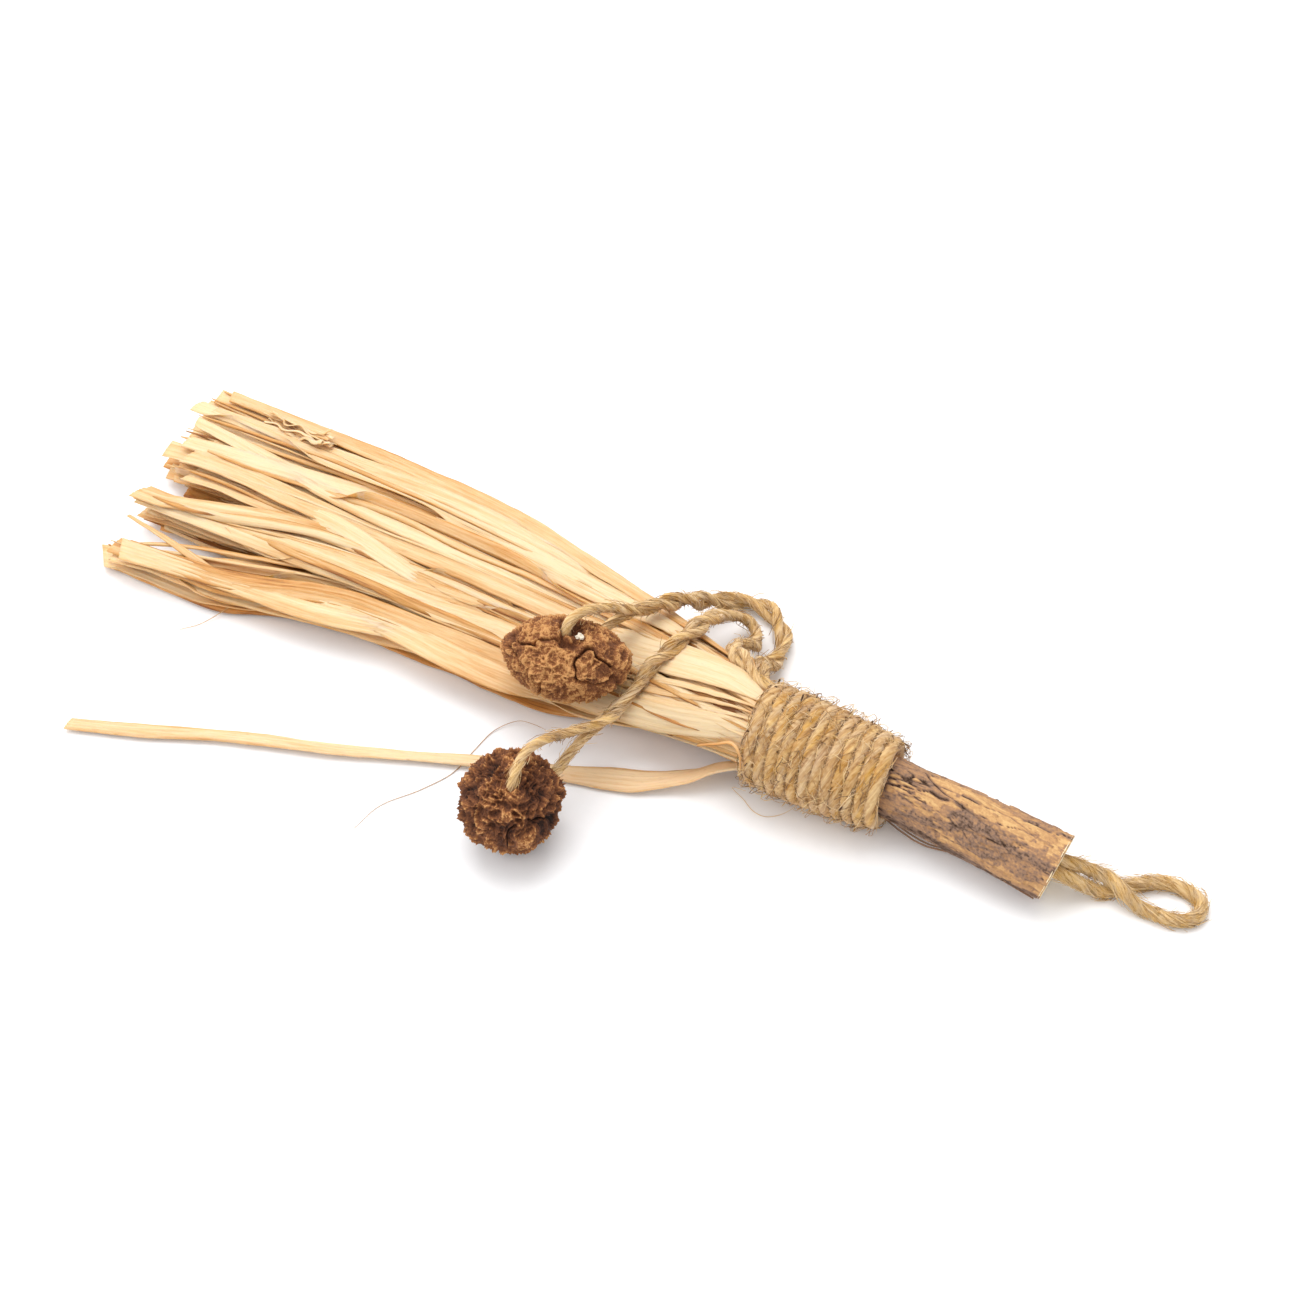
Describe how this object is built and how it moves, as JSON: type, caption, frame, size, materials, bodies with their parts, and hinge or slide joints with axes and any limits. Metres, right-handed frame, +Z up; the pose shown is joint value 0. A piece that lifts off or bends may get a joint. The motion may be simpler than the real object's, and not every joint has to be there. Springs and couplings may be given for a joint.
{
  "type": "raffia whisk with bark stick handle",
  "caption": "Hand-bound whisk: short bark-covered stick handle, jute twine wrap, flat fan of raffia strips, jute hanging loop, and dried galls on doubled jute cords.",
  "frame": {"origin": "bottom centre of the box of the stick, wrap and raffia, on the surface that the whisk lies on", "axes": "+X along the handle from the raffia tips to the sawn end, +Z up from the surface"},
  "size_m": [0.2477, 0.0928, 0.0296],
  "materials": {
    "bark": "dry flaking bark with a pale sawn end",
    "jute": "hairy twisted jute twine",
    "raffia": "dry palm leaf strip with fine lengthwise ribs and a faint sheen",
    "gall": "dry, deeply wrinkled skin"
  },
  "bodies": {
    "root": {"stick": "bark", "twine_wrap": "jute", "raffia_top_outer_1": "raffia", "raffia_top_outer_2": "raffia", "raffia_top_outer_3": "raffia", "raffia_top_outer_4": "raffia", "raffia_top_outer_5": "raffia", "raffia_top_outer_6": "raffia", "raffia_top_middle_1": "raffia", "raffia_top_middle_2": "raffia", "raffia_top_middle_3": "raffia", "raffia_top_middle_4": "raffia", "raffia_top_middle_5": "raffia", "raffia_top_middle_6": "raffia", "raffia_top_middle_7": "raffia", "raffia_top_middle_8": "raffia", "raffia_top_inner_1": "raffia", "raffia_top_inner_2": "raffia", "raffia_top_inner_3": "raffia", "raffia_top_inner_4": "raffia", "raffia_top_inner_5": "raffia", "raffia_top_inner_6": "raffia", "raffia_top_inner_7": "raffia", "raffia_top_inner_8": "raffia", "raffia_low_inner_1": "raffia", "raffia_low_inner_2": "raffia", "raffia_low_inner_3": "raffia", "raffia_low_inner_4": "raffia", "raffia_low_inner_5": "raffia", "raffia_low_inner_6": "raffia", "raffia_low_inner_7": "raffia", "raffia_low_inner_8": "raffia", "raffia_low_middle_1": "raffia", "raffia_low_middle_2": "raffia", "raffia_low_middle_3": "raffia", "raffia_low_middle_4": "raffia", "raffia_low_middle_5": "raffia", "raffia_low_middle_6": "raffia", "raffia_low_middle_7": "raffia", "raffia_low_middle_8": "raffia", "raffia_low_outer_1": "raffia", "raffia_low_outer_2": "raffia", "raffia_low_outer_3": "raffia", "raffia_low_outer_4": "raffia", "raffia_low_outer_5": "raffia", "raffia_low_outer_6": "raffia", "raffia_stray": "raffia", "hanging_loop": "jute", "gall_cord_far": "jute", "gall_cord_near": "jute", "gall_far": "gall", "gall_near": "gall"}
  },
  "joints": []
}
